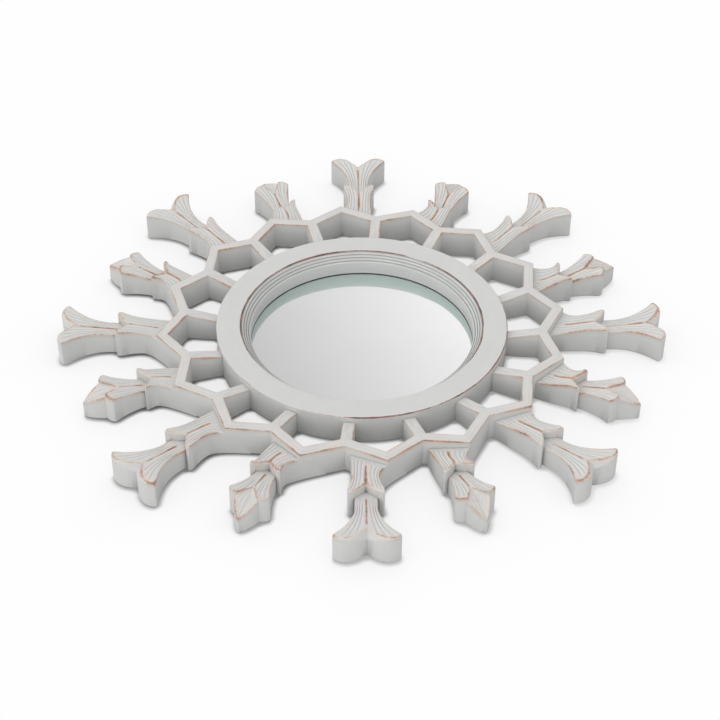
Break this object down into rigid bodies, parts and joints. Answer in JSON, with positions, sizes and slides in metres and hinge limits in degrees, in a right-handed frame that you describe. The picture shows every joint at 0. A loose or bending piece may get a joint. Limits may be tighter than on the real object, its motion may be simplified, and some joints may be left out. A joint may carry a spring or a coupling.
{
  "type": "sunburst mirror",
  "caption": "Round wall mirror in a turned wooden ring, with an open zigzag lattice of spokes round it and carved rays that end in forks and buds, in worn grey paint.",
  "frame": {"origin": "centre of the mirror on the plane of the wooden back", "axes": "+Z out of the face of the mirror, +Y towards the hanger, which is up on a wall, +X to the viewer's right"},
  "size_m": [0.609, 0.609, 0.0318],
  "materials": {
    "painted_wood": "carved wood in matt grey paint, rubbed through to brown at the edges",
    "bare_wood": "plain beech dowel and key stock",
    "mirror": "polished silvered float glass",
    "hardboard": "brown hardboard, smooth face out",
    "plated_steel": "zinc plated",
    "brass": "stamped sheet brass, satin"
  },
  "bodies": {
    "frame": {"centre_ring": "painted_wood", "branch_01": "painted_wood", "branch_02": "painted_wood", "branch_03": "painted_wood", "branch_04": "painted_wood", "branch_05": "painted_wood", "branch_06": "painted_wood", "branch_07": "painted_wood", "branch_08": "painted_wood", "branch_09": "painted_wood", "branch_10": "painted_wood", "branch_11": "painted_wood", "branch_12": "painted_wood", "branch_13": "painted_wood", "branch_14": "painted_wood", "branch_15": "painted_wood", "branch_16": "painted_wood", "fork_ray_1": "painted_wood", "fork_ray_2": "painted_wood", "fork_ray_3": "painted_wood", "fork_ray_4": "painted_wood", "fork_ray_5": "painted_wood", "fork_ray_6": "painted_wood", "fork_ray_7": "painted_wood", "fork_ray_8": "painted_wood", "bud_ray_1": "painted_wood", "bud_ray_2": "painted_wood", "bud_ray_3": "painted_wood", "bud_ray_4": "painted_wood", "bud_ray_5": "painted_wood", "bud_ray_6": "painted_wood", "bud_ray_7": "painted_wood", "bud_ray_8": "painted_wood", "mirror_glass": "mirror", "backing_board": "hardboard", "turn_button_screws": "plated_steel", "hanger_plate": "plated_steel", "hanger_screws": "plated_steel", "spoke_dowels": "bare_wood", "ray_dowels": "bare_wood", "mitre_keys": "bare_wood"},
    "turn_button_1": {"turn_button_1": "brass"},
    "turn_button_2": {"turn_button_2": "brass"},
    "turn_button_3": {"turn_button_3": "brass"},
    "turn_button_4": {"turn_button_4": "brass"}
  },
  "joints": [
    {"name": "turn_button_1_swivel", "type": "hinge", "parent": "frame", "child": "turn_button_1", "pos_m": [0.09122, 0.09122, 0.0024], "axis": [0, 0, 1], "range_deg": [-90, 90]},
    {"name": "turn_button_2_swivel", "type": "hinge", "parent": "frame", "child": "turn_button_2", "pos_m": [-0.09122, 0.09122, 0.0024], "axis": [0, 0, 1], "range_deg": [-90, 90]},
    {"name": "turn_button_3_swivel", "type": "hinge", "parent": "frame", "child": "turn_button_3", "pos_m": [-0.09122, -0.09122, 0.0024], "axis": [0, 0, 1], "range_deg": [-90, 90]},
    {"name": "turn_button_4_swivel", "type": "hinge", "parent": "frame", "child": "turn_button_4", "pos_m": [0.09122, -0.09122, 0.0024], "axis": [0, 0, 1], "range_deg": [-90, 90]}
  ]
}
